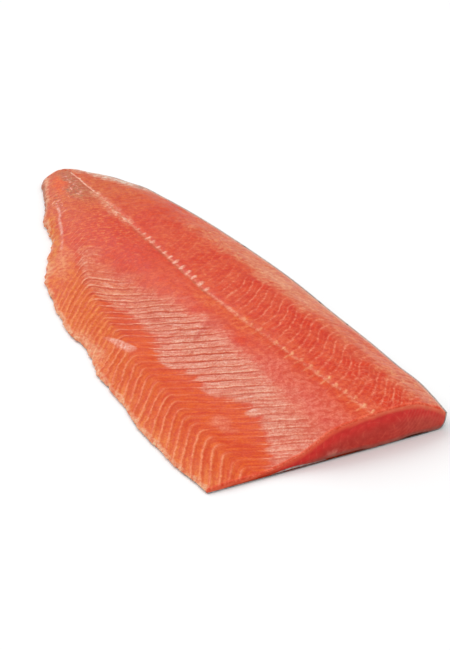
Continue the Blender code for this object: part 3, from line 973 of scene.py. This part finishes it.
def lay_loin_lines(f):
    """Two thin lines to a flake in the loin, and a net of veins."""
    phase = f.unsteady("phase", 80, 2, 0.56)
    second = f.times(f.lines(phase, 0.03, 0.12, shift=0.47), 0.38)
    lines = f.math("MAXIMUM", f.lines(phase, 0.065, 0.14), second)
    lines = f.times(lines, "loin_lines", f.span(f.mottle, 0.32, 0.58, 0.3, 0.8))
    tangle = f.minus(f.grain(75, 2, 0.5, twist=0.8), 0.5)
    veins = f.span(f.math("ABSOLUTE", tangle), 0.022, 0.004)
    head = f.span(f.x, 0.16, 0.24, 0.1, 0.34)
    net = f.times(veins, f.scaled(f.share("loin_lines"), head, 0.07))
    lines = f.math("MAXIMUM", lines, net)
    f.lay(LOIN_LINE, lines)
    return lines


def lay_film_lines(f):
    """Pale lines on the film, partly fat and partly a painted highlight on each ridge's lit side, with a
    red line and a line of painted shade beside each and a faint dark one between them.
    """
    red = f.lines(f.phase, 0.075, 0.08, shift=-0.12)
    f.lay(FILM_RED, red, "film_lines", f.span(f.mottle, 0.3, 0.55, 0.4, 0.85))
    # A line of painted shade below each ridge
    dark = f.times(f.lines(f.phase, 0.035, 0.055, shift=-0.22), "film_lines")
    f.lay(FILM_PAINTED_SHADE_AND_GRIT, dark, f.span(f.mottle, 0.3, 0.55, 0.45, 1.0))
    faint = f.times(f.lines(f.phase, 0.03, 0.06, shift=-0.62), "film_lines")
    f.lay(FILM_PAINTED_SHADE_AND_GRIT, faint, f.span(f.mottle, 0.4, 0.6, 0.05, 0.65))
    # The pale line, partly fat and partly a painted highlight
    pale = f.times(f.lines(f.phase, 0.06, 0.06), "film_lines")
    f.lay(FILM_LINE, pale, f.span(f.mottle, 0.3, 0.6, 0.45, 0.95))
    return dark, pale


def lay_flap_lines(f):
    """The flap's pale lines, each with painted shade on one side: chevrons at the head, close lines at the
    tail.
    """
    wide, close = f.unsteady("phase", 60, 1, 0.12), f.unsteady("flap_phase", 70, 2, 0.6)
    fine = f.share("flap_fine")
    # A line of painted shade on one side of each pale line
    close_dark = f.times(f.lines(close, 0.14, 0.22, shift=-0.45), 0.75)
    dark = f.blend(fine, f.lines(wide, 0.1, 0.18, shift=-0.3), close_dark)
    dark = f.times(dark, "flap_lines", f.span(f.mottle, 0.3, 0.6, 0.25, 0.75))
    f.lay(FLAP_SHADE, dark)
    close_pale = f.times(f.lines(close, 0.15, 0.24), 0.72)
    pale = f.times(f.blend(fine, f.lines(wide, 0.095, 0.15), close_pale), "flap_lines")
    colour = f.mix(fine, FLAP_LINE, FLAP_LINE_TAIL)
    f.lay(colour, pale, f.span(f.mottle, 0.28, 0.6, 0.7, 0.95))
    return pale


def lay_trimmings(f):
    """Rims, scraps of membrane, stains and the seam's fat, over all the lines, and the cut's rim, which is
    partly a painted highlight.
    """
    f.lay(RIM, "rim", f.span(f.mottle, 0.32, 0.62, 0.4, 0.85))
    f.lay(RIM, "back_rim", 0.8)
    f.lay(MEMBRANE, "membrane")
    f.lay(SCRAP, "scrap", f.span(f.mottle, 0.3, 0.55, 0.6, 1.0))
    f.lay(TAIL_RIM, "tail_rim", f.span(f.mottle, 0.35, 0.6, 0.35, 0.95))
    f.lay(OUTLINE, "outline", 0.75)
    f.lay(STAIN, "stain", 0.7)
    f.lay(BRUISE, "bruise", 0.6)
    f.lay(SEAM_SHADE, "seam_shade", 0.7)
    f.lay(f.mix(f.span(f.x, 0.05, 0.13), FAT, FAT_HEAD), "fat")
    # The cut's rim on the top: orange flesh with a painted highlight
    f.lay(CUT_RIM, "cut_rim", 0.85)


def lay_clouds(f):
    """Clouds and grain of dark and light, drawn out along the flakes where the flesh is smooth."""
    along = f.grain(300, 2, 0.5, stretch=(1.0, 0.16, 1.0), place=f.along_flakes)
    smooth = f.plus(f.share("strip"), f.times("flap_lines", 0.6))
    smooth = f.math("MINIMUM", f.scaled(f.share("film"), 0.8, smooth), 1.0)
    clouds = f.blend(f.times(smooth, 0.75), f.mottle, along)
    f.tint(f.span(clouds, 0.38, 0.62), *CLOUD_TINTS)
    f.tint(f.span(f.fine, 0.36, 0.64), *GRAIN_TINTS)


def flesh_finish():
    """Raw flesh from above: zones of colour, fat lines along the flakes, painted sheen, glints, highlights
    and shade on the film and the flap, mottle and a moist gloss.
    """
    f = FleshTop()
    lay_ground(f)
    lay_film(f)
    lay_ripples(f)
    loin_lines = lay_loin_lines(f)
    painted_shade_lines, film_lines = lay_film_lines(f)
    flap_lines = lay_flap_lines(f)
    lay_trimmings(f)
    lay_clouds(f)
    ridges = f.plus(f.times(flap_lines, 0.8), f.times(film_lines, 0.9))
    ridges = f.minus(ridges, f.times(painted_shade_lines, 0.8))
    ridges = f.minus(ridges, f.times(loin_lines, 0.5))
    normal = f.bump(ridges, 0.00025)
    normal = f.bump(f.mottle, 0.0005, 0.6, normal)
    normal = f.bump(f.fine, 0.00012, 0.7, normal)
    rough = f.minus(f.span(f.mottle, 0.3, 0.7, 0.3, 0.44), f.times("film", 0.05))
    f.set(Base_Color=f.tone, Roughness=rough, Normal=normal, **MOIST_FLESH)
    return f.material


def cut_finish():
    """The knife's cut: deep red with an orange rim that is partly a painted highlight along its top edge,
    faint pale arcs and a darker foot.
    """
    f = Finish("salmon_flesh_cut")
    mottle, fine = f.grain(190, 4, 0.6), f.grain(850, 3, 0.6)
    y, z = f.axis(1), f.axis(2)
    depth = f.plus(f.share("depth"), f.scaled(mottle, 0.005, -0.0025))
    # The top band of the cut, partly a painted highlight below its rounded edge
    rim = f.mix(f.span(y, 0.0, 0.06), CUT_RIM, CUT_RIM_BACK)
    f.tone = f.mix(f.span(depth, 0.0006, 0.0042), rim, CUT_RED)
    f.lay(CUT_CRIMSON, f.span(depth, 0.005, 0.015))
    f.lay(CUT_BELLY, f.span(y, -0.03, -0.075))

    wobble = f.scaled(f.grain(60, 2), 0.5, -0.25)
    centre_y, centre_z = CUT_ARCS_ROUND
    reach = f.reach(f.minus(y, centre_y), f.times(f.minus(z, centre_z), 1.5))
    arcs = f.lines(f.plus(f.times(reach, 1 / CUT_ARC_PITCH), wobble), 0.05, 0.1)
    arcs = f.times(arcs, f.span(mottle, 0.38, 0.65, 0.0, 0.42))
    f.lay(CUT_ARC, arcs)
    centre_y, centre_z = CUT_STRIPES_ROUND
    reach = f.reach(f.minus(y, centre_y), f.minus(z, centre_z))
    stripes = f.lines(f.plus(f.times(reach, 1 / CUT_STRIPE_PITCH), wobble), 0.1, 0.22)
    stripes = f.times(stripes, f.span(reach, 0.01, 0.018))
    f.lay(CUT_ARC, stripes, f.span(y, 0.034, 0.056, 0.0, 0.42))

    f.lay(CUT_BACK, f.span(y, 0.045, 0.08), f.span(z, 0.018, 0.008, 0.1, 0.5))
    seam_gap = f.math("ABSOLUTE", f.plus(y, -0.002))
    tuft = f.times(f.span(seam_gap, 0.012, 0.002), f.span(z, 0.009, 0.003))
    f.lay(CUT_PALE, tuft, f.span(mottle, 0.35, 0.6, 0.1, 0.6))
    f.lay(CUT_BROWN, f.span(z, 0.0048, 0.0018), f.span(y, -0.045, 0.0), 0.8)
    f.tint(f.span(mottle, 0.3, 0.7), *CUT_TINTS)
    normal = f.bump(arcs, 0.0002)
    normal = f.bump(mottle, 0.0004, 0.6, normal)
    normal = f.bump(fine, 0.0001, 0.7, normal)
    f.set(Base_Color=f.tone, Roughness=f.span(mottle, 0.3, 0.7, 0.28, 0.42), Normal=normal, **MOIST_FLESH)
    return f.material


def skin_finish():
    """Wet fish skin: silver at the belly, blue-grey at the back, in rows of small scales."""
    f = Finish("salmon_skin_scales")
    back, cloud = f.share("back_share"), f.grain(55, 4, 0.6)
    column, row = f.times(f.axis(0), 1 / SCALE_LENGTH), f.times(f.axis(1), 1 / SCALE_WIDTH)
    slanted = f.node("ShaderNodeCombineXYZ", {"X": f.scaled(row, 0.5, column), "Y": row})
    cells = {"Vector": slanted, "Scale": 1.0, "Randomness": 0.22}
    domes = f.node("ShaderNodeTexVoronoi", cells, voronoi_dimensions="2D", output="Distance")
    tints = f.node("ShaderNodeTexVoronoi", cells, voronoi_dimensions="2D", output="Color")
    f.tone = f.mix(f.span(back, 0.1, 0.95), SKIN_BELLY, SKIN_BACK)
    f.lay(SKIN_RIM, "rim_share")
    f.lay(SKIN_CLOUD, f.span(cloud, 0.35, 0.7, 0.0, 0.5))
    f.lay(SKIN_SPOT, f.span(f.grain(95, 1), 0.66, 0.72), f.span(back, 0.55, 0.9))
    f.tint(f.node("ShaderNodeSeparateColor", {0: tints}), *SCALE_TINTS)
    f.lay(SCALE_GAP, f.span(domes, 0.42, 0.62, 0.0, 0.45))
    normal = f.bump(f.minus(1.0, domes), 0.00022)
    normal = f.bump(f.grain(700, 3), 0.00008, 0.6, normal)
    f.set(Base_Color=f.tone, Roughness=f.span(cloud, 0.3, 0.7, 0.24, 0.42), Normal=normal)
    f.set(Metallic=0.25, Specular_IOR_Level=0.6)
    return f.material


def table_finish():
    f = Finish("table_white")
    f.set(Base_Color=f.mix(f.grain(3, 1), *TABLE_TONES), Roughness=0.9, Specular_IOR_Level=0.1)
    return f.material


def make_table():
    """A plain pale floor under the fillet, wide enough to meet the horizon."""
    far = TABLE_REACH
    corners = [(-far, -far, FLOOR), (far, -far, FLOOR), (far, far, FLOOR), (-far, far, FLOOR)]
    table = new_mesh("table", corners, [(0, 1, 2, 3)])
    table.data.materials.append(table_finish())


def make_world():
    """The light of a pale studio, brighter from overhead than from the horizon."""
    world = bpy.data.worlds.new("studio")
    world.use_nodes = True
    nodes, links = world.node_tree.nodes, world.node_tree.links
    height = nodes.new("ShaderNodeSeparateXYZ")
    links.new(nodes.new("ShaderNodeTexCoord").outputs["Generated"], height.inputs[0])
    fade = nodes.new("ShaderNodeMapRange")
    fade.interpolation_type = "SMOOTHSTEP"
    fade.inputs["From Min"].default_value, fade.inputs["From Max"].default_value = LIGHT_CLIMB
    fade.inputs["To Min"].default_value = HORIZON_LIGHT
    fade.inputs["To Max"].default_value = OVERHEAD_LIGHT
    links.new(height.outputs["Z"], fade.inputs["Value"])
    nodes["Background"].inputs["Color"].default_value = rgb(1.0, 1.0, 1.0)
    links.new(fade.outputs["Result"], nodes["Background"].inputs["Strength"])
    bpy.context.scene.world = world


def make_softbox():
    """One broad soft light from behind the tail."""
    light = bpy.data.lights.new("softbox", "SUN")
    light.energy = SOFTBOX_LIGHT
    light.angle = SOFTBOX_WIDTH
    lamp = bpy.data.objects.new("softbox", light)
    lamp.rotation_euler = Vector(SOFTBOX_FROM).to_track_quat("Z", "Y").to_euler()
    bpy.context.scene.collection.objects.link(lamp)


def make_camera():
    data = bpy.data.cameras.new("camera")
    data.lens, data.sensor_width, data.sensor_fit = LENS, SENSOR, "AUTO"
    data.clip_start, data.clip_end = NEAREST, FARTHEST
    camera = bpy.data.objects.new("camera", data)
    camera.location = CAMERA_AT
    line = Vector(CAMERA_LOOKS_AT) - Vector(CAMERA_AT)
    camera.rotation_euler = line.to_track_quat("-Z", "Y").to_euler()
    bpy.context.scene.collection.objects.link(camera)
    bpy.context.scene.camera = camera


def main():
    flesh, skin = make_flesh(), make_skin()
    flesh.data.materials.append(flesh_finish())
    flesh.data.materials.append(cut_finish())
    skin.data.materials.append(skin_finish())
    for piece, node in ((flesh, "flesh"), (skin, "skin")):
        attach(piece, "root")
        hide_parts(node)
    make_table()
    make_world()
    make_softbox()
    make_camera()
    bpy.context.scene.view_settings.view_transform = "Standard"
    bpy.context.view_layer.update()


main()
